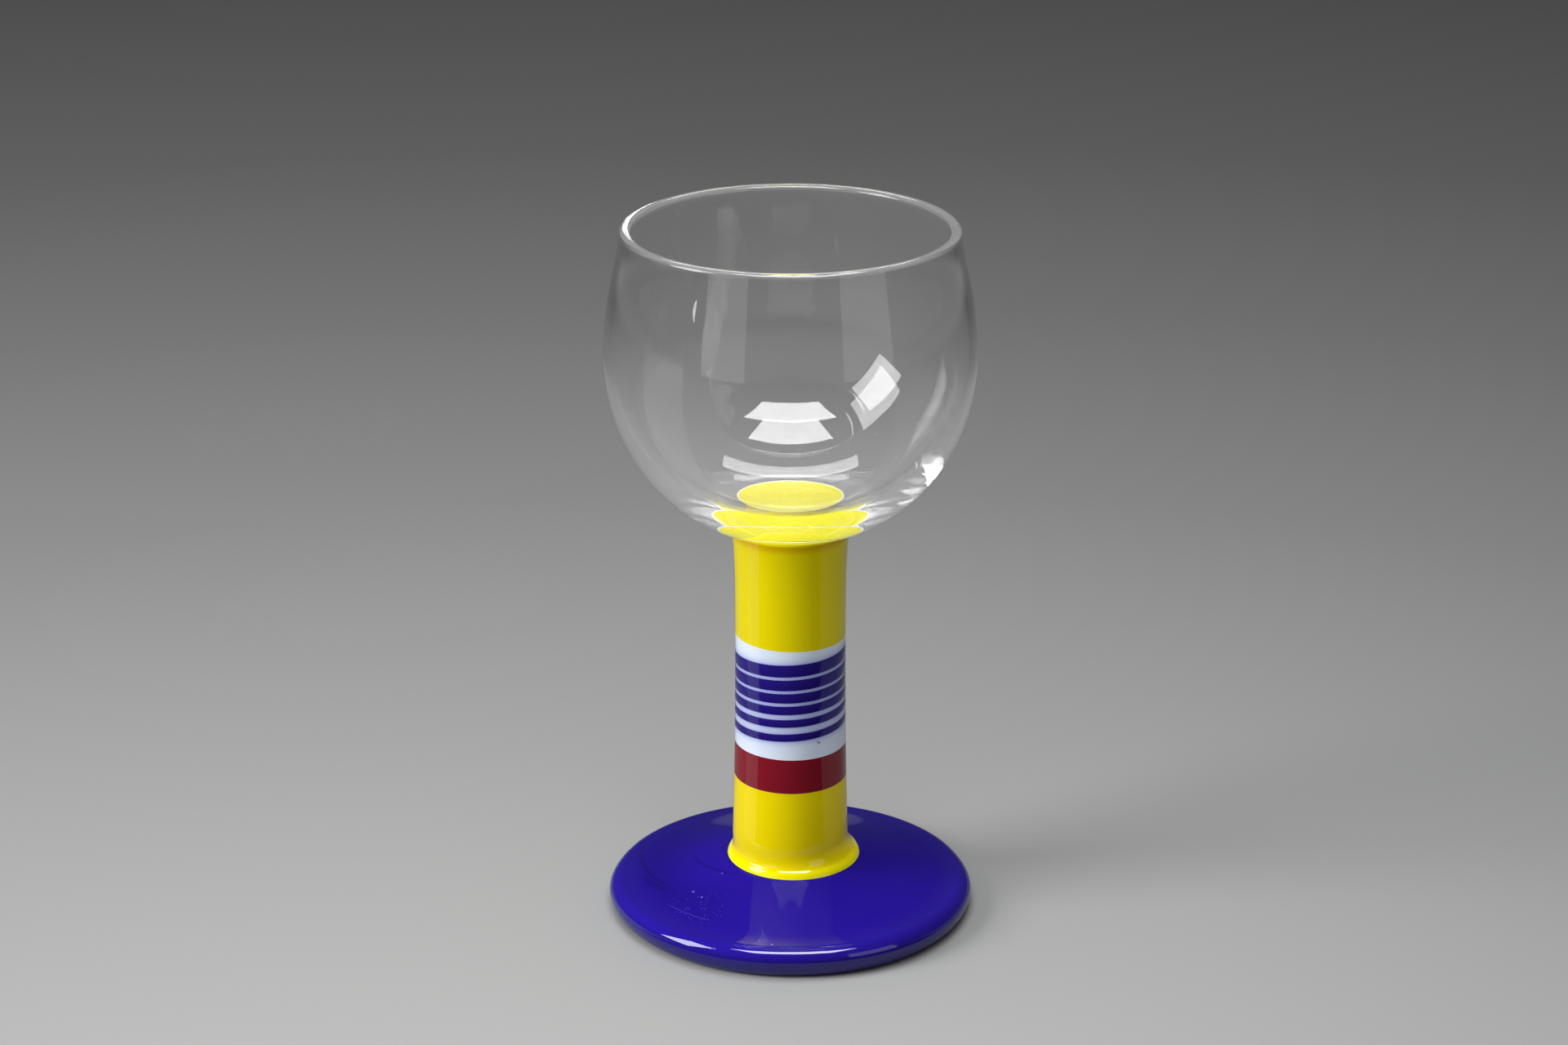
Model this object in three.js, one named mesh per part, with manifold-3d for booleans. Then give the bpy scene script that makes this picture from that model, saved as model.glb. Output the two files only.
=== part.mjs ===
// Stemmed goblet of hot-joined glass: a clear blown bowl on an opaque yellow stem with inlaid bands,
// standing on a broad blue foot.
// Millimetres, +Z up. The origin is the centre of the plane that the foot stands on.
import * as THREE from 'three';
import { mergeVertices } from 'three/addons/utils/BufferGeometryUtils.js';
import Module from 'manifold-3d';

const wasm = await Module();
wasm.setup();

// Driving dimensions: foot
const footRadius = 44;
const footEdgeReach = 3.4; // how far the rounded edge runs in from the outside
const footEdgeHeight = 3.3; // the widest line of the edge above the table
const footEdgeCrown = 3.3; // the top of the rounded edge above its widest line
const footHeight = 12.25; // the seat of the stem above the table
const footSeatMargin = 0.4; // flat of the seat outside the collar
const footSeatSlope = 0.37; // slope of the foot's top where it leaves the seat
const footRingWidth = 8; // flat ring that the foot stands on
const footHollow = 2; // rise of the underside inside the ring

// Driving dimensions: stem, heights measured up from its seat
const stemLength = 86.25;
const stemWaistRadius = 13.25;
const stemWaistHeight = 58;
const stemTopFlare = 0.9; // growth in radius from the waist to the top
const stemBaseFlare = 0.85; // growth in radius from the waist to the collar
const collarRadius = 16.2;
const collarHeight = 6;
const collarLip = 1.3; // radius of the collar's rounded edge
const collarLipRise = 0.6; // the widest line of the edge above the seat
const collarLipSweep = 60; // degrees past the widest line at which the edge runs into the flare

// Driving dimensions: bands let into the stem
const bandDepth = 2.4;
const bandClearance = 0.15;
const redBandBottom = 21.75;
const redBandHeight = 8.75;
const whiteBandHeight = 28;

// Driving dimensions: blue thread, one right-handed winding let into the white band
const threadTurns = 6;
const threadPitch = 3.44;
const threadTopTurn = 53.55; // height of the topmost turn at the front
const threadTopWidth = 3.15; // width of the groove at the topmost turn
const threadBottomWidth = 1.95;
const threadDepth = 1.2;
const threadClearance = 0.15;
const threadWander = 0.26; // how far the hand-laid turns stray from an even pitch
const threadLead = 0.5; // share of a turn that the winding starts before the front of its topmost turn
const threadTail = 0.15; // share of a turn over which each end narrows

// Driving dimensions: bowl, heights measured up from the stem's top
const bowlRadius = 43.55;
const bowlWidestHeight = 41.85;
const bowlHeight = 72.65;
const rimRadius = 39.4;
const rimThickness = 2.6;
const bowlWall = 2.1; // at the widest line
const bowlFloor = 3.1; // on the axis, over the stem

// Shape factors: a curve's handle as a share of the stretch that it spans, and other ratios
const footTopReach = 0.16;
const footHollowReach = 0.5;
const stemTopPower = 4; // power that the flare grows with from the waist to the top
const stemBasePower = 2; // power that the flare grows with from the waist to the collar
const bowlHipReach = 0.338; // outside, leaving the stem
const bowlHipRise = 0.154; // slope of the outside where it leaves the stem
const bowlBellyReach = 0.625; // outside, below the widest line
const bowlShoulderReach = 0.45; // above the widest line
const bowlMouthReach = 0.28; // below the rim
const bowlMouthLean = 0.1; // inward slope under the rim
const insideBellyReach = 0.45; // inside, below the widest line
const insideFloorReach = 0.714; // inside, leaving the axis
const threadThinning = 1.5; // power that the thread's width falls with as it winds down
const threadTailWidth = 0.4; // width left at the thread's ends
const threadRoot = 0.55; // width of the thread's underside

// Facets
const roundSegments = 48;
const threadStepsPerTurn = 24;
const sameSpot = 1e-5; // points nearer than this are one point

// Places that follow from the sizes
const whiteBandBottom = redBandBottom + redBandHeight;
const whiteBandTop = whiteBandBottom + whiteBandHeight;
const coreRadius = stemWaistRadius - bandDepth;
const bandInnerRadius = coreRadius + bandClearance;

/** Outer radius of the stem and its bands at a height above the seat: a slight waist. */
function stemRadius(height) {
  if (height > stemWaistHeight) {
    const share = (height - stemWaistHeight) / (stemLength - stemWaistHeight);
    return stemWaistRadius + stemTopFlare * share ** stemTopPower;
  }
  const share = (stemWaistHeight - height) / (stemWaistHeight - collarHeight);
  return stemWaistRadius + stemBaseFlare * share ** stemBasePower;
}

/** Points of the stem's outside between two heights, both ends included. */
function stemSide(fromHeight, toHeight, steps) {
  const points = [];
  for (let step = 0; step <= steps; step += 1) {
    const height = fromHeight + ((toHeight - fromHeight) * step) / steps;
    points.push(new THREE.Vector2(stemRadius(height), height));
  }
  return points;
}

/** Points of an elliptical arc, angles in degrees. */
function arc(centreX, centreY, radiusX, radiusY, fromDegrees, toDegrees, steps) {
  const fromAngle = THREE.MathUtils.degToRad(fromDegrees);
  const toAngle = THREE.MathUtils.degToRad(toDegrees);
  const clockwise = toAngle < fromAngle;
  const curve = new THREE.EllipseCurve(
    centreX, centreY, radiusX, radiusY, fromAngle, toAngle, clockwise,
  );
  return curve.getPoints(steps);
}

/** Points of a cubic curve through its four control points, each given as [radius, height]. */
function sweep(start, startHandle, endHandle, end, steps) {
  const controls = [start, startHandle, endHandle, end].map(([x, y]) => new THREE.Vector2(x, y));
  return new THREE.CubicBezierCurve(...controls).getPoints(steps);
}

/** Drops points that repeat the one before, so that joined curves share their ends. */
function joined(...runs) {
  const points = [];
  for (const point of runs.flat()) {
    const last = points.at(-1);
    if (!last || last.distanceTo(point) > sameSpot) points.push(point);
  }
  return points;
}

/** Turns a profile of (radius, height) points about the Z axis. */
function revolve(profile) {
  const geometry = new THREE.LatheGeometry(profile, roundSegments);
  geometry.rotateX(Math.PI / 2);
  return geometry;
}

/** A solid for cutting, from the closed surface of a geometry. */
function solidOf(geometry) {
  const bare = geometry.clone();
  bare.deleteAttribute('normal');
  bare.deleteAttribute('uv');
  const merged = mergeVertices(bare, sameSpot);
  const vertProperties = new Float32Array(merged.attributes.position.array);
  const triVerts = new Uint32Array(merged.index.array);
  return new wasm.Manifold(new wasm.Mesh({ numProp: 3, vertProperties, triVerts }));
}

/** The surface of a solid as a geometry. */
function geometryOf(solid) {
  const mesh = solid.getMesh();
  const geometry = new THREE.BufferGeometry();
  geometry.setAttribute('position', new THREE.BufferAttribute(mesh.vertProperties, 3));
  geometry.setIndex(new THREE.BufferAttribute(mesh.triVerts, 1));
  geometry.computeVertexNormals();
  return geometry;
}

/** A named mesh with a glass of the given colour. */
function glassPiece(name, geometry, color, extra = {}) {
  const material = new THREE.MeshStandardMaterial({ color, roughness: 0.08, metalness: 0, ...extra });
  const piece = new THREE.Mesh(geometry, material);
  piece.name = name;
  return piece;
}

/** Broad foot: rounded edge, top rising to the stem's seat, hollow underside inside a flat ring. */
function makeFoot() {
  const edgeStart = footRadius - footEdgeReach;
  const edgeTop = footEdgeHeight + footEdgeCrown;
  const ringInside = edgeStart - footRingWidth;
  const seatRadius = collarRadius + footSeatMargin;
  const topReach = footTopReach * (edgeStart - seatRadius);
  const hollowReach = footHollowReach * ringInside;
  const profile = joined(
    sweep([0, footHollow], [hollowReach, footHollow], [ringInside - hollowReach, 0], [ringInside, 0], 6),
    arc(edgeStart, footEdgeHeight, footEdgeReach, footEdgeHeight, -90, 0, 5),
    arc(edgeStart, footEdgeHeight, footEdgeReach, footEdgeCrown, 0, 90, 5),
    sweep(
      [edgeStart, edgeTop],
      [edgeStart - topReach, edgeTop],
      [seatRadius + topReach, footHeight - topReach * footSeatSlope],
      [seatRadius, footHeight],
      6,
    ),
    [new THREE.Vector2(0, footHeight)],
  );
  return glassPiece('foot', revolve(profile), 0x2c18a0);
}

/** Stem with its collar, and a recess that the bands fill. */
function makeStem() {
  const lipCentre = collarRadius - collarLip;
  const lipStart = -THREE.MathUtils.radToDeg(Math.asin(collarLipRise / collarLip));
  const lip = arc(lipCentre, collarLipRise, collarLip, collarLip, lipStart, collarLipSweep, 6);
  const lipEnd = lip.at(-1);
  const collarTopRadius = stemRadius(collarHeight);
  const flare = sweep(
    [lipEnd.x, lipEnd.y],
    [(lipEnd.x + collarTopRadius) / 2, lipEnd.y + collarLip / 2],
    [collarTopRadius, (lipEnd.y + collarHeight) / 2],
    [collarTopRadius, collarHeight],
    4,
  );
  const profile = joined(
    [new THREE.Vector2(0, 0)],
    lip,
    flare,
    stemSide(collarHeight, redBandBottom, 3),
    [new THREE.Vector2(coreRadius, redBandBottom), new THREE.Vector2(coreRadius, whiteBandTop)],
    stemSide(whiteBandTop, stemLength, 7),
    [new THREE.Vector2(0, stemLength)],
  );
  return glassPiece('stem', revolve(profile), 0xf0dc00);
}

/** Sleeve between two heights, flush with the stem's outside. */
function bandSleeve(fromHeight, toHeight, steps) {
  const bottom = new THREE.Vector2(bandInnerRadius, fromHeight);
  const top = new THREE.Vector2(bandInnerRadius, toHeight);
  return revolve(joined([bottom], stemSide(fromHeight, toHeight, steps), [top, bottom]));
}

/** Height of the thread's middle at a number of turns down from the front of its topmost turn. */
function threadHeight(turn) {
  const stray = threadWander * Math.sin((2 * Math.PI * turn) / (threadTurns - 1));
  return threadTopTurn - threadPitch * turn - stray;
}

/** Width of the thread's groove: it thins as it winds down, and narrows to a tail at each end. */
function threadWidth(turn) {
  const share = THREE.MathUtils.clamp(turn / (threadTurns - 1), 0, 1);
  const width = threadBottomWidth + (threadTopWidth - threadBottomWidth) * (1 - share) ** threadThinning;
  const fromEnd = Math.min(turn + threadLead, threadTurns - threadLead - turn);
  const fullness = THREE.MathUtils.smoothstep(fromEnd, 0, threadTail);
  return width * THREE.MathUtils.lerp(threadTailWidth, 1, fullness);
}

/**
 * Rings of six points along the winding. The outer pair of each ring lies on the stem's outside,
 * pushed out by proud, and the other four are the rounded underside, grown by margin.
 */
function threadRings(margin, proud) {
  const steps = threadTurns * threadStepsPerTurn;
  const overrun = margin / (2 * Math.PI * stemWaistRadius);
  const rings = [];
  for (let step = 0; step <= steps; step += 1) {
    const along = step / steps;
    const turn = -threadLead - overrun + (threadTurns + 2 * overrun) * along;
    const angle = -Math.PI / 2 - 2 * Math.PI * turn;
    const middle = threadHeight(turn);
    const surface = stemRadius(middle);
    const half = threadWidth(turn) / 2 - threadClearance + margin;
    const shoulder = surface - threadDepth / 2 - margin;
    const bottom = surface - threadDepth - margin;
    const section = [
      [-half, surface + proud],
      [half, surface + proud],
      [half, shoulder],
      [threadRoot * half, bottom],
      [-threadRoot * half, bottom],
      [-half, shoulder],
    ];
    rings.push(section.map(([rise, radius]) => new THREE.Vector3(
      radius * Math.cos(angle),
      radius * Math.sin(angle),
      middle + rise,
    )));
  }
  return rings;
}

/** Closed tube over rings that all have the same number of points. */
function tubeOver(rings) {
  const sides = rings[0].length;
  const indices = [];
  for (let ring = 0; ring + 1 < rings.length; ring += 1) {
    for (let side = 0; side < sides; side += 1) {
      const here = ring * sides + side;
      const beside = ring * sides + ((side + 1) % sides);
      indices.push(here, beside, here + sides, beside, beside + sides, here + sides);
    }
  }
  const lastRing = (rings.length - 1) * sides;
  for (let side = 1; side + 1 < sides; side += 1) {
    indices.push(0, side + 1, side);
    indices.push(lastRing, lastRing + side, lastRing + side + 1);
  }
  const geometry = new THREE.BufferGeometry().setFromPoints(rings.flat());
  geometry.setIndex(indices);
  geometry.computeVertexNormals();
  return geometry;
}

/** Least distance between points of the winding that lie more than half a turn apart. */
function leastGap(rings) {
  let least = Infinity;
  for (let first = 0; first < rings.length; first += 1) {
    for (let second = first + threadStepsPerTurn / 2; second < rings.length; second += 1) {
      for (const from of rings[first]) {
        for (const to of rings[second]) least = Math.min(least, from.distanceTo(to));
      }
    }
  }
  return least;
}

/** Blue thread: one unbroken winding, flush with the stem. */
function makeBlueThread() {
  const rings = threadRings(0, 0);
  console.log(`blue_thread: least gap between turns ${leastGap(rings).toFixed(2)} mm`);
  return glassPiece('blue_thread', tubeOver(rings), 0x22128c);
}

/** White band, with the winding's groove cut into its outside. */
function makeWhiteBand() {
  const cutProud = bandDepth / 2;
  const groove = tubeOver(threadRings(threadClearance, cutProud));
  const band = solidOf(bandSleeve(whiteBandBottom, whiteBandTop, 2)).subtract(solidOf(groove));
  return glassPiece('white_band', geometryOf(band), 0xe9edf7);
}

/** Red band under the white one. */
function makeRedBand() {
  return glassPiece('red_band', bandSleeve(redBandBottom, whiteBandBottom, 2), 0x8e1f28);
}

/** Clear bowl: swelling wall, drawn-in mouth with a rounded rim, and a floor that sits on the stem. */
function makeBowl() {
  const padRadius = stemRadius(stemLength);
  const rimHeight = bowlHeight - rimThickness / 2;
  const innerRadius = bowlRadius - bowlWall;
  const rimInner = rimRadius - rimThickness;
  const hip = bowlHipReach * (bowlRadius - padRadius);
  const shoulder = rimHeight - bowlWidestHeight;
  const drawIn = bowlMouthReach * shoulder;
  const lean = bowlMouthLean * drawIn;
  const outerBelly = bowlWidestHeight * (1 - bowlBellyReach);
  const innerBelly = bowlWidestHeight - insideBellyReach * (bowlWidestHeight - bowlFloor);
  const swell = bowlWidestHeight + bowlShoulderReach * shoulder;
  const outside = joined(
    sweep(
      [padRadius, 0],
      [padRadius + hip, bowlHipRise * hip],
      [bowlRadius, outerBelly],
      [bowlRadius, bowlWidestHeight],
      12,
    ),
    sweep(
      [bowlRadius, bowlWidestHeight],
      [bowlRadius, swell],
      [rimRadius + lean, rimHeight - drawIn],
      [rimRadius, rimHeight],
      6,
    ),
  );
  const rimRound = rimThickness / 2;
  const rim = arc(rimRadius - rimRound, rimHeight, rimRound, rimRound, 0, 180, 6);
  const inside = joined(
    sweep(
      [rimInner, rimHeight],
      [rimInner + lean, rimHeight - drawIn],
      [innerRadius, swell],
      [innerRadius, bowlWidestHeight],
      6,
    ),
    sweep(
      [innerRadius, bowlWidestHeight],
      [innerRadius, innerBelly],
      [insideFloorReach * innerRadius, bowlFloor],
      [0, bowlFloor],
      11,
    ),
  );
  const profile = joined([new THREE.Vector2(0, 0)], outside, rim, inside);
  const clear = { roughness: 0.02, transparent: true, opacity: 0.35 };
  return glassPiece('bowl', revolve(profile), 0xf3f7f7, clear);
}

// The stem stands on the foot, its bands lie in it, and the bowl sits on its top
const stemGroup = new THREE.Group();
stemGroup.position.z = footHeight;
stemGroup.add(makeStem(), makeRedBand(), makeWhiteBand(), makeBlueThread());

const bowlGroup = new THREE.Group();
bowlGroup.position.z = stemLength;
bowlGroup.add(makeBowl());
stemGroup.add(bowlGroup);

const goblet = new THREE.Group();
goblet.name = 'goblet';
goblet.add(makeFoot(), stemGroup);

export default goblet;
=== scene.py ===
"""Dresses a stemmed goblet of hot-joined glass: clear bowl, banded yellow stem, violet-blue foot."""
import logging
import math
from dataclasses import dataclass
from enum import Enum
from typing import ClassVar

import bmesh
import bpy
from mathutils import Matrix, Quaternion, Vector
from mathutils.geometry import interpolate_bezier


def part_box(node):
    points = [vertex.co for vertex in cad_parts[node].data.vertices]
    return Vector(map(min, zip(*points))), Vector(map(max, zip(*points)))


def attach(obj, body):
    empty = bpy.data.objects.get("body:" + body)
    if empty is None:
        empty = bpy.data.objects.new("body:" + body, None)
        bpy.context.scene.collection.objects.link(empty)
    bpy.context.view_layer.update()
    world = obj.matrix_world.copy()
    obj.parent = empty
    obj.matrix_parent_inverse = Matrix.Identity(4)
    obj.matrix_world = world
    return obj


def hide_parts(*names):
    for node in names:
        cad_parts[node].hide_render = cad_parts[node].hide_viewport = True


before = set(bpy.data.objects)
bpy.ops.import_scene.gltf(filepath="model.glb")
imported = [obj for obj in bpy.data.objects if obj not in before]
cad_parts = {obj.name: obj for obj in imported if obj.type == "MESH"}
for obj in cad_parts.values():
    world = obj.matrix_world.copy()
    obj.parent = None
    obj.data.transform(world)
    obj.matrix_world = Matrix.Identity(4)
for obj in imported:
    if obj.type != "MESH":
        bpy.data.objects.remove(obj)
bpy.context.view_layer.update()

LOG = logging.getLogger("goblet")
MM = 0.001  # metres in a millimetre
TURN_STEPS = 240  # facets round each turned piece
SHARP_DEGREES = 35  # edges that turn more than this stay sharp
SAME_SPOT = 1e-7  # metres, points nearer than this are one point
GLASS_IOR = 1.5  # soda-lime glass
POLISHED = 0.05  # roughness of fire-polished glass
FLAT = (1.0, 1.0, 0.0)  # times a place, this drops its height

Pair = tuple[float, float]
Triple = tuple[float, float, float]
Colour = tuple[float, float, float, float]
Stops = tuple[tuple[float, str], ...]
Tree = bpy.types.NodeTree
Socket = bpy.types.NodeSocket


def linear(hex_code: str) -> Colour:
    """Turn an sRGB hex value into a linear colour.

    Args:
        hex_code: six hex digits, red first.

    Returns:
        Linear red, green and blue with an alpha of 1.
    """
    shares = [int(hex_code[place:place + 2], 16) / 255 for place in (0, 2, 4)]
    red, green, blue = (s / 12.92 if s <= 0.04045 else ((s + 0.055) / 1.055) ** 2.4 for s in shares)
    return red, green, blue, 1.0


def smooth_step(low: float, high: float, value: float) -> float:
    """Rise smoothly from 0 at low to 1 at high.

    Args:
        low: where the rise starts.
        high: where the rise ends.
        value: where it is read.

    Returns:
        A share from 0 to 1.
    """
    share = min(max((value - low) / (high - low), 0.0), 1.0)
    return share * share * (3 - 2 * share)


def add_node(tree: Tree, kind: str, inputs: dict | None = None, **settings: object) -> bpy.types.Node:
    """Add a node, set its properties, and set or link its inputs.

    Args:
        tree: node tree that takes the node.
        kind: the node's type name after ShaderNode.
        inputs: for each input, by name or number, a value or the output socket that feeds it.
        settings: properties of the node itself.

    Returns:
        The new node.
    """
    node = tree.nodes.new(f"ShaderNode{kind}")
    for name, value in settings.items():
        setattr(node, name, value)
    for key, value in (inputs or {}).items():
        if isinstance(value, Socket):
            tree.links.new(value, node.inputs[key])
        else:
            node.inputs[key].default_value = value
    return node


def new_material(name: str) -> tuple[bpy.types.Material, Tree]:
    """Make an empty material.

    Args:
        name: its name.

    Returns:
        The material and its node tree.
    """
    made = bpy.data.materials.new(name)
    made.use_nodes = True
    made.node_tree.nodes.clear()
    return made, made.node_tree


def surface(tree: Tree, colour: Socket, look: dict) -> None:
    """Finish a material with one principled surface.

    Args:
        tree: node tree of the material.
        colour: socket that gives its base colour.
        look: the shader's other inputs by name.
    """
    shader = add_node(tree, "BsdfPrincipled", {"Base Color": colour, **look})
    add_node(tree, "OutputMaterial", {"Surface": shader.outputs[0]})


def fill_ramp(ramp: bpy.types.Node, stops: Stops) -> None:
    """Give a new colour ramp its stops.

    Args:
        ramp: the ramp's node, which comes with two stops.
        stops: place and grey of each stop, those for the two that it comes with first.
    """
    held = ramp.color_ramp.elements
    for index, (position, grey) in enumerate(stops):
        stop = held[index] if index < 2 else held.new(position)
        stop.position, stop.color = position, linear(grey)


def curve(start: Pair, start_handle: Pair, end_handle: Pair, end: Pair, points: int) -> list[Vector]:
    """Sample a cubic curve in the (radius, height) plane.

    Args:
        start: first end, as radius and height in millimetres.
        start_handle: control point beside the first end.
        end_handle: control point beside the second end.
        end: second end.
        points: how many points, both ends included.

    Returns:
        The points, with the radius along X and the height along Z.
    """
    controls = [Vector((radius, 0, height)) for radius, height in (start, start_handle, end_handle, end)]
    return interpolate_bezier(*controls, points)


def arc(centre: Pair, reach: float, rise: float, degrees: Pair, points: int) -> list[Vector]:
    """Sample an elliptical arc in the (radius, height) plane.

    Args:
        centre: radius and height of its centre in millimetres.
        reach: its half axis along the radius.
        rise: its half axis along the height.
        degrees: angles of its first and last point.
        points: how many points, both ends included.

    Returns:
        The points, with the radius along X and the height along Z.
    """
    found = []
    for step in range(points):
        angle = math.radians(degrees[0] + (degrees[1] - degrees[0]) * step / (points - 1))
        found.append(Vector((centre[0] + reach * math.cos(angle), 0, centre[1] + rise * math.sin(angle))))
    return found


def turned(profile: list[Vector], closed: bool = False) -> bmesh.types.BMesh:
    """Turn a profile about the goblet's axis.

    Args:
        profile: points in millimetres, from the axis to the axis unless closed.
        closed: True for a profile that joins up with its own start.

    Returns:
        The turned mesh in metres, with its faces pointing out.
    """
    bm = bmesh.new()
    ring = [bm.verts.new(point * MM) for point in profile]
    ends = ring[1:] + ring[:1] if closed else ring[1:]
    for pair in zip(ring, ends):
        bm.edges.new(pair)
    bmesh.ops.remove_doubles(bm, verts=bm.verts, dist=SAME_SPOT)
    bmesh.ops.spin(bm, geom=bm.verts[:] + bm.edges[:], cent=(0, 0, 0), axis=(0, 0, 1), dvec=(0, 0, 0),
                   angle=2 * math.pi, steps=TURN_STEPS, use_merge=True, use_duplicate=False)
    bmesh.ops.remove_doubles(bm, verts=bm.verts, dist=SAME_SPOT)
    bmesh.ops.recalc_face_normals(bm, faces=bm.faces)
    return bm


def finished(bm: bmesh.types.BMesh, node: str, material: bpy.types.Material) -> bpy.types.Object:
    """Make a bmesh the piece that stands for a CAD node.

    Args:
        bm: the mesh in metres, which is freed.
        node: CAD node that the piece replaces and is named for.
        material: its finish.

    Returns:
        The piece, riding on the goblet's one body.
    """
    mesh = bpy.data.meshes.new(f"{node}_glass")
    bm.to_mesh(mesh)
    bm.free()
    mesh.shade_smooth()
    mesh.set_sharp_from_angle(angle=math.radians(SHARP_DEGREES))
    mesh.materials.append(material)
    piece = bpy.data.objects.new(f"{node}_glass", mesh)
    bpy.context.scene.collection.objects.link(piece)
    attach(piece, "root")
    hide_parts(node)
    LOG.info("%s: %d faces for %s", piece.name, len(mesh.polygons), node)
    return piece


@dataclass(frozen=True)
class NodeSpan:
    """Radius and heights of a round CAD node, in millimetres."""

    radius: float
    bottom: float
    top: float

    @classmethod
    def of(cls, node: str) -> "NodeSpan":
        """Read a node's span from the frame.

        Args:
            node: name of the CAD node.

        Returns:
            Its largest radius, and its lowest and highest point.
        """
        low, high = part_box(node)
        return cls(radius=high.x / MM, bottom=low.z / MM, top=high.z / MM)


class Finish(Enum):
    """The goblet's six glasses."""

    CLEAR = "clear_glass"
    YELLOW = "yellow_glass"
    WHITE = "white_glass"
    THREAD = "thread_glass"
    RED = "red_glass"
    FOOT = "foot_glass"


@dataclass(frozen=True)
class ClearBowlGlass:
    """Blown soda-lime glass: colourless, bends what is behind it, and shows each lamp as a crisp shape."""

    tint: str = "FFFFFF"
    lamp_share: str = "F4F6F6"  # lamp light that one surface lets through
    sway_mm: float = 26.0  # width of the blown wall's slight waves
    sway_depth_mm: float = 0.02
    sway_share: float = 0.1  # how much of that depth shows
    long_run: Pair = (17.0, 26.0)  # bounces over which light that is caught in the wall runs out, and the wall gives a painted glow instead
    painted_glow: float = 0.35  # how bright the painted glow of the wall is where that light ends

    def material(self) -> bpy.types.Material:
        """Build the clear glass, which lets lamp light through to what stands behind it.

        Returns:
            The material.
        """
        made, tree = new_material("clear_blown_soda_lime_glass")
        place = add_node(tree, "TexCoord").outputs["Object"]
        waves = add_node(tree, "TexNoise", {
            "Vector": place, "Scale": 1 / (self.sway_mm * MM), "Detail": 1.0})
        skin = add_node(tree, "Bump", {
            "Height": waves.outputs["Fac"], "Strength": self.sway_share, "Distance": self.sway_depth_mm * MM})
        glass = add_node(tree, "BsdfPrincipled", {
            "Base Color": linear(self.tint), "Roughness": 0.0, "IOR": GLASS_IOR,
            "Transmission Weight": 1.0, "Normal": skin.outputs["Normal"]})
        passing = add_node(tree, "BsdfTransparent", {"Color": linear(self.lamp_share)})
        path = add_node(tree, "LightPath")
        spread = add_node(tree, "Math", {0: path.outputs["Is Shadow Ray"],
                                                   1: path.outputs["Is Diffuse Ray"]}, operation="MAXIMUM")
        caught = add_node(tree, "MapRange", {
            0: path.outputs["Ray Depth"], 1: self.long_run[0], 2: self.long_run[1]})
        both = add_node(tree, "MixShader", {0: spread.outputs[0], 1: glass.outputs[0],
                                                      2: passing.outputs[0]})
        # painted glow: the wall glows white where light caught in it runs out of bounces
        painted_glow_shader = add_node(tree, "Emission", {"Color": linear("FFFFFF"), "Strength": self.painted_glow})
        whole = add_node(tree, "MixShader", {
            0: caught.outputs[0], 1: both.outputs[0], 2: painted_glow_shader.outputs[0]})
        add_node(tree, "OutputMaterial", {"Surface": whole.outputs[0]})
        made.cycles.emission_sampling = "NONE"
        return made


@dataclass(frozen=True)
class OpaqueGlass:
    """Opaque coloured glass: fire-polished, so glossy, with faint cloudiness in its colour."""

    name: str
    colour: str
    cloud: str  # colour of the slightly different streaks in the melt
    cloud_mm: float = 9.0

    def material(self) -> bpy.types.Material:
        """Build the glass with its streaks.

        Returns:
            The material.
        """
        made, tree = new_material(self.name)
        place = add_node(tree, "TexCoord").outputs["Object"]
        noise = add_node(tree, "TexNoise", {
            "Vector": place, "Scale": 1 / (self.cloud_mm * MM), "Detail": 3.0})
        body = add_node(tree, "Mix", {0: noise.outputs["Fac"], 6: linear(self.colour),
                                                7: linear(self.cloud)}, data_type="RGBA")
        surface(tree, body.outputs[2], {"Roughness": POLISHED, "IOR": GLASS_IOR})
        return made


@dataclass(frozen=True)
class Speck:
    """A small chip or bubble at the surface of a glass."""

    place_mm: Triple
    radius_mm: float
    colour: str
    share: float = 0.8


def specked(tree: Tree, body: Socket, specks: tuple[Speck, ...]) -> Socket:
    """Lay specks over a glass's colour.

    Args:
        tree: node tree of the material.
        body: socket that gives the colour without them.
        specks: the specks.

    Returns:
        The socket that gives the colour with them.
    """
    place = add_node(tree, "TexCoord").outputs["Object"]
    for speck in specks:
        middle = tuple(size * MM for size in speck.place_mm)
        away = add_node(tree, "VectorMath", {0: place, 1: middle}, operation="DISTANCE")
        shown = add_node(tree, "MapRange", {
            0: away.outputs["Value"], 1: speck.radius_mm * MM / 2, 2: speck.radius_mm * MM,
            3: speck.share, 4: 0.0})
        body = add_node(tree, "Mix", {0: shown.outputs[0], 6: body, 7: linear(speck.colour)},
                        data_type="RGBA").outputs[2]
    return body


@dataclass(frozen=True)
class Swirl:
    """A line in the foot's glass that winds about the stem: a dark one from where the hot gather was twisted,
    a pale one a painted reflection along a faint ridge near the edge.
    """

    radius_mm: float  # at its middle
    bearing: float  # of its middle, in degrees from the front to the right
    drift_mm: float  # growth of the radius per radian
    half_span: float  # degrees from its middle to its end
    half_width_mm: float
    colour: str
    share: float


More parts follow.
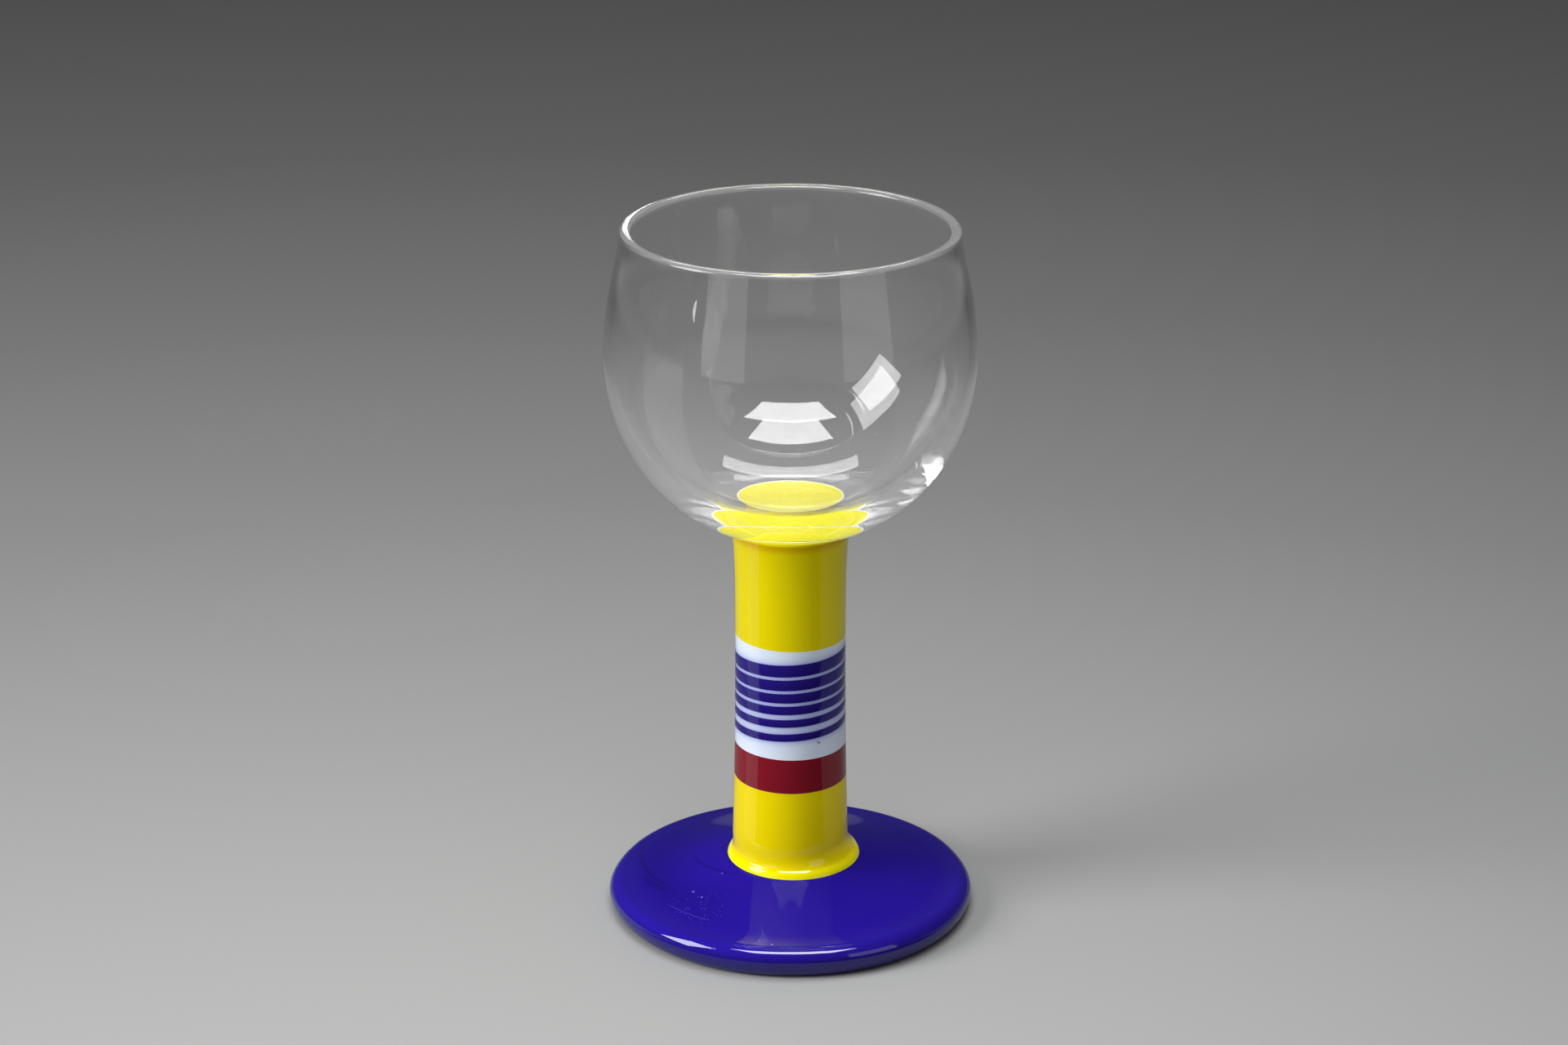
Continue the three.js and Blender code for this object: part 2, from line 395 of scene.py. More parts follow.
@dataclass(frozen=True)
class FootGlass:
    """Opaque violet-blue glass: deep and glossy, with dark folds of the gather and fine bubbles."""

    edge: float  # radius in millimetres from which the skin is fire-polished
    radius: float
    colour: str = "2816A0"
    cloud: str = "211086"
    painted_back_shade: str = "1C0E78"  # painted shade on the side away from the light
    bubble: str = "7068D8"
    cloud_mm: float = 24.0
    bubble_mm: float = 1.0  # spacing of the bubbles in a cluster
    bubble_size: Pair = (0.06, 0.2)  # shares of that spacing at which a bubble fades and ends
    bubble_share: Pair = (0.75, 0.05)  # how much the bubbles show in the cluster and away from it
    cluster_mm: Triple = (-21.5, -24.0, 8.0)
    cluster_reach_mm: Pair = (1.0, 10.0)  # distances from its middle at which the cluster thins and ends
    top_gloss: float = 0.1  # the pressed top mirrors less than the fire-polished edge
    edge_gloss: float = 0.5
    gloss_mm: float = 4.0  # width over which the gloss grows towards the edge
    roughness: float = 0.04
    # painted shade on the underside of the edge, which faces away from the lamps
    painted_under_shade: str = "120A5C"
    painted_under_shade_mm: Pair = (6.2, 3.4)  # heights at which the painted shade on the underside of the edge starts and is full
    painted_under_shade_share: float = 0.7
    swirls: tuple[Swirl, ...] = (
        Swirl(33.0, -90.0, 0.0, 75.0, 13.0, "170A66", 0.5),
        Swirl(35.3, -88.0, -10.5, 27.0, 0.9, "170A58", 0.6),
        Swirl(34.6, -74.0, -10.5, 13.0, 1.5, "170A58", 0.45),
        Swirl(20.9, -72.0, -8.0, 30.0, 0.7, "170A58", 0.5),
        # a pale line near the edge: a painted reflection along a faint ridge
        Swirl(35.2, -45.0, -2.5, 14.0, 0.2, "6A60C8", 0.28),
    )
    specks: tuple[Speck, ...] = (
        Speck((38.1, -22.8, 3.2), 0.5, "F0F0FF"), Speck((-4.4, -40.2, 7.4), 0.35, "C8C8F4"),
        Speck((-23.5, -16.1, 9.1), 0.35, "8C86DC"), Speck((-21.4, -19.0, 9.1), 0.3, "8C86DC"),
        Speck((-16.6, -10.6, 11.2), 0.3, "7068D8"),
    )

    def material(self) -> bpy.types.Material:
        """Build the glass.

        Returns:
            The material.
        """
        made, tree = new_material("opaque_violet_blue_glass")
        place = add_node(tree, "TexCoord").outputs["Object"]
        clouds = add_node(tree, "TexNoise", {
            "Vector": place, "Scale": 1 / (self.cloud_mm * MM), "Detail": 3.0})
        body = add_node(tree, "Mix", {
            0: clouds.outputs["Fac"], 6: linear(self.colour), 7: linear(self.cloud)},
            data_type="RGBA").outputs[2]
        spot = add_node(tree, "SeparateXYZ", {0: place})
        # painted shade: the glass darkens towards the back, away from the light
        behind = add_node(tree, "MapRange", {
            0: spot.outputs["Y"], 1: -self.radius * MM / 2, 2: self.radius * MM},
            interpolation_type="SMOOTHSTEP")
        body = add_node(tree, "Mix", {0: behind.outputs[0], 6: body, 7: linear(self.painted_back_shade)},
                        data_type="RGBA").outputs[2]
        # painted shade on the underside of the edge
        below = add_node(tree, "MapRange", {
            0: spot.outputs["Z"], 1: self.painted_under_shade_mm[0] * MM, 2: self.painted_under_shade_mm[1] * MM, 4: self.painted_under_shade_share},
            interpolation_type="SMOOTHSTEP")
        body = add_node(tree, "Mix", {0: below.outputs[0], 6: body, 7: linear(self.painted_under_shade)},
                        data_type="RGBA").outputs[2]
        flat = add_node(tree, "VectorMath", {0: place, 1: FLAT}, operation="MULTIPLY")
        reach = add_node(tree, "VectorMath", {0: flat.outputs[0]},
                         operation="LENGTH").outputs["Value"]
        ahead = add_node(tree, "Math", {0: spot.outputs["Y"], 1: -1.0}, operation="MULTIPLY")
        bearing = add_node(tree, "Math", {0: spot.outputs["X"], 1: ahead.outputs[0]},
                           operation="ARCTAN2")
        for swirl in self.swirls:
            body = self.swirled(tree, body, reach, bearing.outputs[0], swirl)
        body = specked(tree, self.bubbled(tree, body, place), self.specks)
        gloss = add_node(tree, "MapRange", {
            0: reach, 1: (self.edge - self.gloss_mm) * MM, 2: self.edge * MM,
            3: self.top_gloss, 4: self.edge_gloss})
        surface(tree, body, {
            "Roughness": self.roughness, "IOR": GLASS_IOR, "Specular IOR Level": gloss.outputs[0]})
        return made

    def swirled(self, tree: Tree, body: Socket, reach: Socket,
                bearing: Socket, swirl: Swirl) -> Socket:
        """Lay one swirl over the glass's colour.

        Args:
            tree: node tree of the material.
            body: socket that gives the colour without it.
            reach: socket that gives the distance from the axis.
            bearing: socket that gives the bearing from the front, in radians.
            swirl: the swirl.

        Returns:
            The socket that gives the colour with it.
        """
        past = add_node(tree, "Math", {0: bearing, 1: math.radians(swirl.bearing)},
                        operation="SUBTRACT")
        line = add_node(tree, "Math", {
            0: past.outputs[0], 1: swirl.drift_mm * MM, 2: swirl.radius_mm * MM}, operation="MULTIPLY_ADD")
        off = add_node(tree, "Math", {0: reach, 1: line.outputs[0]}, operation="SUBTRACT")
        aside = add_node(tree, "Math", {0: off.outputs[0]}, operation="ABSOLUTE")
        dense = add_node(tree, "MapRange", {
            0: aside.outputs[0], 1: 0.0, 2: swirl.half_width_mm * MM, 3: swirl.share, 4: 0.0},
            interpolation_type="SMOOTHSTEP")
        along = add_node(tree, "Math", {0: past.outputs[0]}, operation="ABSOLUTE")
        end = math.radians(swirl.half_span)
        lasting = add_node(tree, "MapRange", {
            0: along.outputs[0], 1: end / 3, 2: end, 3: 1.0, 4: 0.0}, interpolation_type="SMOOTHSTEP")
        shown = add_node(tree, "Math", {0: dense.outputs[0], 1: lasting.outputs[0]},
                         operation="MULTIPLY")
        return add_node(tree, "Mix", {0: shown.outputs[0], 6: body, 7: linear(swirl.colour)},
                        data_type="RGBA").outputs[2]

    def bubbled(self, tree: Tree, body: Socket,
                place: Socket) -> Socket:
        """Lay a cluster of fine bubbles over the glass's colour.

        Args:
            tree: node tree of the material.
            body: socket that gives the colour without them.
            place: socket that gives the place on the piece.

        Returns:
            The socket that gives the colour with them.
        """
        cells = add_node(tree, "TexVoronoi", {"Vector": place, "Scale": 1 / (self.bubble_mm * MM)})
        fades, ends = self.bubble_size
        dots = add_node(tree, "MapRange", {
            0: cells.outputs["Distance"], 1: fades, 2: ends, 3: 1.0, 4: 0.0})
        middle = tuple(size * MM for size in self.cluster_mm)
        away = add_node(tree, "VectorMath", {0: place, 1: middle}, operation="DISTANCE")
        near, far = self.cluster_reach_mm
        dense, sparse = self.bubble_share
        cluster = add_node(tree, "MapRange", {
            0: away.outputs["Value"], 1: near * MM, 2: far * MM, 3: dense, 4: sparse},
            interpolation_type="SMOOTHSTEP")
        seeds = add_node(tree, "Math", {0: dots.outputs[0], 1: cluster.outputs[0]},
                         operation="MULTIPLY")
        return add_node(tree, "Mix", {0: seeds.outputs[0], 6: body, 7: linear(self.bubble)},
                        data_type="RGBA").outputs[2]


@dataclass(frozen=True)
class YellowGlass:
    """Opaque yellow glass: drawn out hot, so streaked along the stem, with a painted shadow of the bowl below
    the joint, painted light low down, on the lip, at the joint and on its top, and a painted glint round its
    top's edge.
    """

    top: float  # height of the joint with the bowl in millimetres
    top_radius: float
    colour: str = "EEDC00"
    streak: str = "E4D000"
    low: str = "F8E000"  # painted light on the lower stretch above the foot, which the bowl does not shade
    lip: str = "FFF400"  # painted light on the thin lip of the collar
    # painted shadow of the bowl on the stem just below the joint
    painted_bowl_shadow: str = "D8AC00"
    joint: str = "F8EE00"
    seat: str = "FFF438"  # painted light on its top, seen through the bowl
    # painted glint round the top's edge, where the joint mirrors the bright room
    painted_edge_glint: str = "FFFEF0"
    streak_mm: Triple = (3.0, 3.0, 60.0)
    painted_bowl_shadow_mm: Pair = (3.6, 1.2)  # depths below the joint at which the painted shadow of the bowl starts and is full
    joint_mm: Pair = (1.3, 0.6)  # depths below the joint at which the light from the bowl starts and is full
    # width of the painted glint round the top's edge
    painted_edge_glint_mm: float = 0.4
    seat_mm: float = 0.06  # depth of the painted light on the seat
    low_mm: Pair = (60.0, 68.0)  # depths below the joint at which the painted light of the lower stretch starts and is full
    lip_mm: Pair = (84.3, 85.3)  # depths below the joint at which the painted light on the lip starts and is full
    gloss: float = 0.35

    def material(self) -> bpy.types.Material:
        """Build the glass.

        Returns:
            The material.
        """
        made, tree = new_material("opaque_yellow_glass")
        place = add_node(tree, "TexCoord").outputs["Object"]
        drawn = tuple(1 / (size * MM) for size in self.streak_mm)
        along = add_node(tree, "VectorMath", {0: place, 1: drawn}, operation="MULTIPLY")
        noise = add_node(tree, "TexNoise", {
            "Vector": along.outputs[0], "Scale": 1.0, "Detail": 3.0})
        body = add_node(tree, "Mix", {0: noise.outputs["Fac"], 6: linear(self.colour),
                                                7: linear(self.streak)}, data_type="RGBA").outputs[2]
        height = add_node(tree, "SeparateXYZ", {0: place}).outputs["Z"]
        # painted light low down and on the lip, a painted shadow of the bowl, and painted light just below
        # the joint
        for shade, (start, full) in (
                (self.low, self.low_mm), (self.lip, self.lip_mm),
                (self.painted_bowl_shadow, self.painted_bowl_shadow_mm), (self.joint, self.joint_mm)):
            share = add_node(tree, "MapRange", {
                0: height, 1: (self.top - start) * MM, 2: (self.top - full) * MM},
                interpolation_type="SMOOTHSTEP")
            body = add_node(tree, "Mix", {0: share.outputs[0], 6: body, 7: linear(shade)},
                            data_type="RGBA").outputs[2]
        flat = add_node(tree, "VectorMath", {0: place, 1: FLAT}, operation="MULTIPLY")
        reach = add_node(tree, "VectorMath", {0: flat.outputs[0]}, operation="LENGTH")
        outer = add_node(tree, "Math", {
            0: reach.outputs["Value"], 1: (self.top_radius - self.painted_edge_glint_mm) * MM}, operation="GREATER_THAN")
        # painted light on the stem's top
        upper = add_node(tree, "Math", {0: height, 1: (self.top - self.seat_mm) * MM},
                         operation="GREATER_THAN")
        body = add_node(tree, "Mix", {0: upper.outputs[0], 6: body, 7: linear(self.seat)},
                        data_type="RGBA").outputs[2]
        # painted glint round the edge of the top
        painted_edge_glint = add_node(tree, "Math", {0: outer.outputs[0], 1: upper.outputs[0]},
                        operation="MULTIPLY")
        body = add_node(tree, "Mix", {0: painted_edge_glint.outputs[0], 6: body, 7: linear(self.painted_edge_glint)},
                        data_type="RGBA").outputs[2]
        surface(tree, body, {"Roughness": POLISHED, "IOR": GLASS_IOR, "Specular IOR Level": self.gloss})
        return made


@dataclass(frozen=True)
class OpalGlass:
    """Opal white glass: dense and cool, with the blue of the thread showing through beside it."""

    colour: str = "E6F1FF"
    cloud: str = "E0EBFC"
    blue: str = "7F86D2"
    cloud_mm: float = 8.0
    specks: tuple[Speck, ...] = (
        Speck((6.75, -11.45, 46.6), 0.5, "5A6672", 0.7), Speck((6.2, -11.75, 47.0), 0.35, "5A6672", 0.5))
    tinge: ClassVar[str] = "blue_tinge"  # the share of blue that the mesh holds at each vertex

    def material(self) -> bpy.types.Material:
        """Build the glass.

        Returns:
            The material.
        """
        made, tree = new_material("opal_white_glass")
        place = add_node(tree, "TexCoord").outputs["Object"]
        noise = add_node(tree, "TexNoise", {
            "Vector": place, "Scale": 1 / (self.cloud_mm * MM), "Detail": 2.0})
        body = add_node(tree, "Mix", {0: noise.outputs["Fac"], 6: linear(self.colour),
                                                7: linear(self.cloud)}, data_type="RGBA")
        share = add_node(tree, "Attribute", attribute_name=self.tinge).outputs["Fac"]
        tinged = add_node(tree, "Mix", {0: share, 6: body.outputs[2], 7: linear(self.blue)},
                          data_type="RGBA")
        body = specked(tree, tinged.outputs[2], self.specks)
        surface(tree, body, {"Roughness": POLISHED, "IOR": GLASS_IOR})
        return made


@dataclass
class Foot:
    """Broad pressed foot: rounded edge, top rising to the stem's seat, hollow underside; in millimetres."""

    span: NodeSpan
    edge_reach: float = 3.4
    edge_height: float = 3.3
    edge_crown: float = 3.3
    seat_radius: float = 16.6
    seat_slope: float = 0.37
    ring_width: float = 8.0
    hollow: float = 2.0
    top_reach: float = 0.16
    hollow_reach: float = 0.5
    lean: Pair = (0.0047, -0.026)  # slope of the pressed edge along X and Y, high at the front
    front_spread: float = 0.15  # how far the edge was pressed out at the front
    side_spread: float = 0.62  # how far the edge was pressed out at both sides
    bulge: float = 0.6  # how much further it was pressed out right of the front
    bulge_bearing: float = 42.0  # degrees right of the front
    bulge_half: float = 45.0  # degrees to each side over which the bulge ends
    spread_end: Pair = (-6.0, 16.0)  # distances behind the axis between which the spread ends

    def profile(self) -> list[Vector]:
        """Give the outline.

        Returns:
            Points from the middle of the underside round the edge to the middle of the seat.
        """
        edge = self.span.radius - self.edge_reach
        edge_top = self.edge_height + self.edge_crown
        ring = edge - self.ring_width
        reach = self.top_reach * (edge - self.seat_radius)
        dip = self.hollow_reach * ring
        seat = self.span.top
        return [
            *curve((0, self.hollow), (dip, self.hollow), (ring - dip, 0), (ring, 0), 24),
            *arc((edge, self.edge_height), self.edge_reach, self.edge_height, (-90, 0), 20),
            *arc((edge, self.edge_height), self.edge_reach, self.edge_crown, (0, 90), 20),
            *curve((edge, edge_top), (edge - reach, edge_top),
                   (self.seat_radius + reach, seat - reach * self.seat_slope), (self.seat_radius, seat), 40),
            Vector((0, 0, seat)),
        ]

    def settle(self, bm: bmesh.types.BMesh) -> None:
        """Lean the edge and press it out as the hand left it; the seat and the standing ring stay level.

        Args:
            bm: the foot's mesh in metres, which is changed.
        """
        ring_middle = self.span.radius - self.edge_reach - self.ring_width / 2
        for vert in bm.verts:
            start = self.seat_radius if vert.co.z > self.edge_height * MM else ring_middle
            loose = smooth_step(start, self.span.radius, math.hypot(vert.co.x, vert.co.y) / MM)
            rise = loose * (self.lean[0] * vert.co.x + self.lean[1] * vert.co.y)
            freed = self.edge_height if rise > 0 else self.edge_height + self.edge_crown
            vert.co.z += rise * min(vert.co.z / (freed * MM), 1.0)
            outward = Vector((vert.co.x, vert.co.y, 0)).normalized()
            sideways = self.front_spread + (self.side_spread - self.front_spread) * abs(outward.x)
            aside = abs(math.degrees(math.atan2(outward.x, -outward.y)) - self.bulge_bearing)
            sideways += self.bulge * (1 - smooth_step(0.0, self.bulge_half, aside))
            held = smooth_step(*self.spread_end, vert.co.y / MM)
            vert.co += outward * loose * sideways * (1 - held) * MM

    def build(self) -> bpy.types.Object:
        """Turn the foot, let it settle and dress it in its blue glass.

        Returns:
            The foot.
        """
        bm = turned(self.profile())
        self.settle(bm)
        glass = FootGlass(edge=self.span.radius - self.edge_reach, radius=self.span.radius)
        return finished(bm, "foot", glass.material())


@dataclass
class Stem:
    """Drawn stem with a slight waist, a collar at its seat, and bands let into its side; in millimetres."""

    span: NodeSpan
    red: NodeSpan
    white: NodeSpan
    waist_radius: float = 13.25
    waist_height: float = 70.25
    top_flare: float = 0.9
    top_power: float = 4.0
    base_flare: float = 0.85
    base_power: float = 2.0
    collar_radius: float = 16.2
    collar_height: float = 6.0
    collar_lip: float = 4.0  # radius of the lip's round
    collar_lip_turn: Pair = (18.0, 47.0)  # degrees above level that the lip faces at its foot and its top
    collar_flare: float = 0.82  # length of the lip's tangent into the flare above it
    band_depth: float = 2.4
    seat_in_bowl: float = 0.05  # how far the hot stem sank into the bowl's floor
    collar_aside: float = 0.8  # how far the pressed collar sits to the right of the axis
    red_tilt: float = -0.008  # slope along X of the red band's foot
    white_tilt: Pair = (-0.012, -0.0206)  # slopes along X of the white band's foot and top
    level_below: float = 4.0  # depth below the stem's top above which it is level again

    def radius(self, height: float) -> float:
        """Give the outer radius of the stem and its bands.

        Args:
            height: height above the table in millimetres.

        Returns:
            The radius there.
        """
        if height > self.waist_height:
            share = (height - self.waist_height) / (self.span.top - self.waist_height)
            return self.waist_radius + self.top_flare * share ** self.top_power
        share = (self.waist_height - height) / (self.waist_height - self.span.bottom - self.collar_height)
        return self.waist_radius + self.base_flare * share ** self.base_power

    def side(self, bottom: float, top: float, points: int) -> list[Vector]:
        """Give points of the outside between two heights, both ends included."""
        heights = [bottom + (top - bottom) * step / (points - 1) for step in range(points)]
        return [Vector((self.radius(height), 0, height)) for height in heights]

    def profile(self) -> list[Vector]:
        """Give the outline.

        Returns:
            Points from the middle of the seat, round the collar and the recess, to the middle of the top.
        """
        seat = self.span.bottom
        core = self.waist_radius - self.band_depth
        lip_foot, lip_top = (math.radians(degrees) for degrees in self.collar_lip_turn)
        lip_middle = (self.collar_radius - self.collar_lip * math.cos(lip_foot),
                      seat - self.collar_lip * math.sin(lip_foot))
        lip = arc(lip_middle, self.collar_lip, self.collar_lip, self.collar_lip_turn, 14)
        lip_end = (lip[-1].x, lip[-1].z)
        shoulder = seat + self.collar_height
        neck = self.radius(shoulder)
        flare = curve(lip_end, (lip_end[0] - self.collar_flare * math.sin(lip_top),
                                lip_end[1] + self.collar_flare * math.cos(lip_top)),
                      (neck, (lip_end[1] + shoulder) / 2), (neck, shoulder), 16)
        top = self.span.top + self.seat_in_bowl
        return [
            Vector((0, 0, seat)), *lip, *flare,
            *self.side(shoulder, self.red.bottom, 16),
            Vector((core, 0, self.red.bottom)), Vector((core, 0, self.white.top)),
            *self.side(self.white.top, self.span.top, 24),
            Vector((self.radius(self.span.top), 0, top)), Vector((0, 0, top)),
        ]

    def settle(self, bm: bmesh.types.BMesh) -> None:
        """Move a turned piece of the stem as the hand left it: collar aside, bands out of level.

        Args:
            bm: the piece's mesh in metres, which is changed.
        """
        for vert in bm.verts:
            height = vert.co.z / MM
            loose = 1 - smooth_step(self.span.bottom, self.span.bottom + self.collar_height, height)
            level = 0.0
            for (low, low_tilt), (high, high_tilt) in zip(self.tilts(), self.tilts()[1:]):
                if low <= height <= high:
                    level = low_tilt + (high_tilt - low_tilt) * (height - low) / (high - low)
            vert.co.z += level * vert.co.x
            vert.co.x += loose * self.collar_aside * MM

    def tilts(self) -> list[Pair]:
        """Give the heights at which the stem's levels were measured, each with its slope along X."""
        return [(self.span.bottom + self.collar_height, 0.0), (self.red.bottom, self.red_tilt),
                (self.white.bottom, self.white_tilt[0]), (self.white.top, self.white_tilt[1]),
                (self.span.top - self.level_below, 0.0)]

    def build(self) -> bpy.types.Object:
        """Turn the stem, let it settle and dress it in yellow glass.

        Returns:
            The stem.
        """
        bm = turned(self.profile())
        self.settle(bm)
        top = self.span.top + self.seat_in_bowl
        glass = YellowGlass(top=top, top_radius=self.radius(self.span.top))
        return finished(bm, "stem", glass.material())


@dataclass
class Thread:
    """Blue thread wound by hand over the white band and rolled in flush; in millimetres."""

    stem: Stem
    turns: int = 6
    pitch: float = 3.44
    top_turn: float = 65.8  # height of the topmost turn at the front
    top_width: float = 3.15
    bottom_width: float = 1.95
    wander: float = 0.26
    lead: float = 0.5  # turns before the front at which it starts
    tail: float = 0.15  # turns over which each end narrows
    tail_width: float = 0.4  # share of its width that is left at each end
    thinning: float = 1.5
    depth: float = 1.2
    proud: float = 0.03
    shoulder: float = 0.93  # share of its half width that stands proud
    root: float = 0.55  # share of its half width that is flat underneath
    steps_per_turn: int = 72

    def height(self, turn: float) -> float:
        """Give the height of the thread's middle, in turns down from the front of the topmost one."""
        stray = self.wander * math.sin(2 * math.pi * turn / (self.turns - 1))
        return self.top_turn - self.pitch * turn - stray

    def width(self, turn: float) -> float:
        """Give the thread's width, which thins as it winds down and narrows at each end.

        Args:
            turn: turns down from the front of the topmost one.

        Returns:
            The width there in millimetres.
        """
        share = min(max(turn / (self.turns - 1), 0.0), 1.0)
        width = self.bottom_width + (self.top_width - self.bottom_width) * (1 - share) ** self.thinning
        from_end = min(turn + self.lead, self.turns - self.lead - turn)
        fullness = smooth_step(0.0, self.tail, from_end)
        return width * (self.tail_width + (1 - self.tail_width) * fullness)

    def section(self, turn: float) -> list[Vector]:
        """Give the closed section, crowned outside and round underneath.

        Args:
            turn: turns down from the front of the topmost one.

        Returns:
            Its corners in metres, before they are turned to their place round the stem.
        """
        middle = self.height(turn)
        half = self.width(turn) / 2
        skin = self.stem.radius(middle)
        outside = [(-1.0, 0.0), (-self.shoulder, self.proud), (0.0, self.proud),
                   (self.shoulder, self.proud), (1.0, 0.0)]
        underside = [(1.0, -self.depth / 2), (self.root, -self.depth), (-self.root, -self.depth),
                     (-1.0, -self.depth / 2)]
        spots = []
        for across, out in outside + underside:
            height = middle + across * half
            spots.append(Vector((self.stem.radius(height) + out, 0, height)) * MM)
        return spots

    def build(self) -> bpy.types.Object:
        """Draw the section along the winding, close its ends and dress it in dark blue glass.

        Returns:
            The thread.
        """
        bm = bmesh.new()
        steps = self.turns * self.steps_per_turn
        ring: list[bmesh.types.BMVert] = []
        for step in range(steps + 1):
            turn = -self.lead + self.turns * step / steps
            around = Matrix.Rotation(-math.pi / 2 - 2 * math.pi * turn, 3, "Z")
            spots = [around @ spot for spot in self.section(turn)]
            if not ring:
                ring = [bm.verts.new(spot) for spot in spots]
                edges = [bm.edges.new(pair) for pair in zip(ring, ring[1:] + ring[:1])]
                bm.faces.new(ring)
                continue
            drawn = bmesh.ops.extrude_edge_only(bm, edges=edges)["geom"]
            edges = [item for item in drawn if isinstance(item, bmesh.types.BMEdge)]
            ring = [item for item in drawn if isinstance(item, bmesh.types.BMVert)]
            for vert, spot in zip(ring, spots):
                vert.co = spot
        bmesh.ops.contextual_create(bm, geom=edges)
        bmesh.ops.recalc_face_normals(bm, faces=bm.faces)
        glass = OpaqueGlass("opaque_dark_blue_glass", "24157C", "1F1170")
        return finished(bm, "blue_thread", glass.material())


@dataclass
class Bands:
    """White and red bands that lie flush in the stem, the white one tinged by the thread on it."""

    stem: Stem
    thread: Thread
    tinge_mm: float = 0.75  # how far the thread's blue shows through the white beside it
    tinge_share: float = 0.72  # how much of it shows right beside the thread
    red_rows: int = 24
    white_rows: int = 141  # fine enough for the tinge

    def sleeve(self, band: NodeSpan, points: int) -> bmesh.types.BMesh:
        """Turn a band that fills its stretch of the recess.

        Args:
            band: its heights.
            points: how many rows its outside has.

        Returns:
            The band's mesh in metres.
        """
        core = self.stem.waist_radius - self.stem.band_depth
        bm = turned([Vector((core, 0, band.bottom)), *self.stem.side(band.bottom, band.top, points),
                     Vector((core, 0, band.top))], closed=True)
        self.stem.settle(bm)
        return bm

    def tinge(self, spot: Vector) -> float:
        """Give the share of blue that shows in the white at a spot.

        Args:
            spot: a place on the band, in metres.

        Returns:
            A share from 0 to 1, which grows towards the thread on both sides.
        """
        past_front = (-math.pi / 2 - math.atan2(spot.y, spot.x)) / (2 * math.pi) % 1.0
        clear = 1.0
        for whole in range(-1, self.thread.turns):
            turn = whole + past_front
            if -self.thread.lead <= turn <= self.thread.turns - self.thread.lead:
                gap = abs(spot.z / MM - self.thread.height(turn)) - self.thread.width(turn) / 2
                clear *= 1 - self.tinge_share * math.exp(-max(gap, 0.0) / self.tinge_mm)
        return 1 - clear

    def build(self) -> list[bpy.types.Object]:
        """Turn both bands and dress each in its own glass.

        Returns:
            The red band and the white band.
        """
        red_glass = OpaqueGlass("opaque_red_glass", "891628", "7C1222", cloud_mm=6.0)
        red = self.sleeve(self.stem.red, self.red_rows)
        white = self.sleeve(self.stem.white, self.white_rows)
        tinged = white.verts.layers.float.new(OpalGlass.tinge)
        for vert in white.verts:
            vert[tinged] = self.tinge(vert.co)
        return [
            finished(red, "red_band", red_glass.material()),
            finished(white, "white_band", OpalGlass().material()),
        ]


@dataclass
class Bowl:
    """Blown bowl: swelling wall, drawn-in mouth, polished rim, and a floor on the stem; in millimetres."""

    span: NodeSpan
    pad_radius: float
    pad_ease: float = 0.05  # how far the flat of the pad ends before its edge
    widest_height: float = 41.85
    rim_radius: float = 39.4
    rim_thickness: float = 2.6
    wall: float = 2.1
    floor: float = 3.1
    hip_reach: float = 0.338
    hip_rise: float = 0.154
    belly_reach: float = 0.625
    shoulder_reach: float = 0.45
    mouth_reach: float = 0.28
    mouth_lean: float = 0.1
    inside_belly_reach: float = 0.45
    inside_floor_reach: float = 0.714

    def profile(self) -> list[Vector]:
        """Give the outline.

        Returns:
            Points from the middle of the pad, up the outside, over the rim and down inside.
        """
        base = self.span.bottom
        wide = base + self.widest_height
        rim_round = self.rim_thickness / 2
        rim_height = self.span.top - rim_round
        inner = self.span.radius - self.wall
        rim_inner = self.rim_radius - self.rim_thickness
        hip = self.hip_reach * (self.span.radius - self.pad_radius)
        shoulder = rim_height - wide
        draw_in = self.mouth_reach * shoulder
        lean = self.mouth_lean * draw_in
        swell = wide + self.shoulder_reach * shoulder
        floor = base + self.floor
        outer_belly = base + self.widest_height * (1 - self.belly_reach)
        inner_belly = wide - self.inside_belly_reach * (self.widest_height - self.floor)
        return [
            Vector((0, 0, base)), Vector((self.pad_radius - self.pad_ease, 0, base)),
            *curve((self.pad_radius, base), (self.pad_radius + hip, base + self.hip_rise * hip),
                   (self.span.radius, outer_belly), (self.span.radius, wide), 56),
            *curve((self.span.radius, wide), (self.span.radius, swell),
                   (self.rim_radius + lean, rim_height - draw_in), (self.rim_radius, rim_height), 28),
            *arc((self.rim_radius - rim_round, rim_height), rim_round, rim_round, (0, 180), 25),
            *curve((rim_inner, rim_height), (rim_inner + lean, rim_height - draw_in),
                   (inner, swell), (inner, wide), 28),
            *curve((inner, wide), (inner, inner_belly),
                   (self.inside_floor_reach * inner, floor), (0, floor), 64),
        ]

    def build(self) -> bpy.types.Object:
        """Turn the bowl and dress it in clear glass."""
        return finished(turned(self.profile()), "bowl", ClearBowlGlass().material())


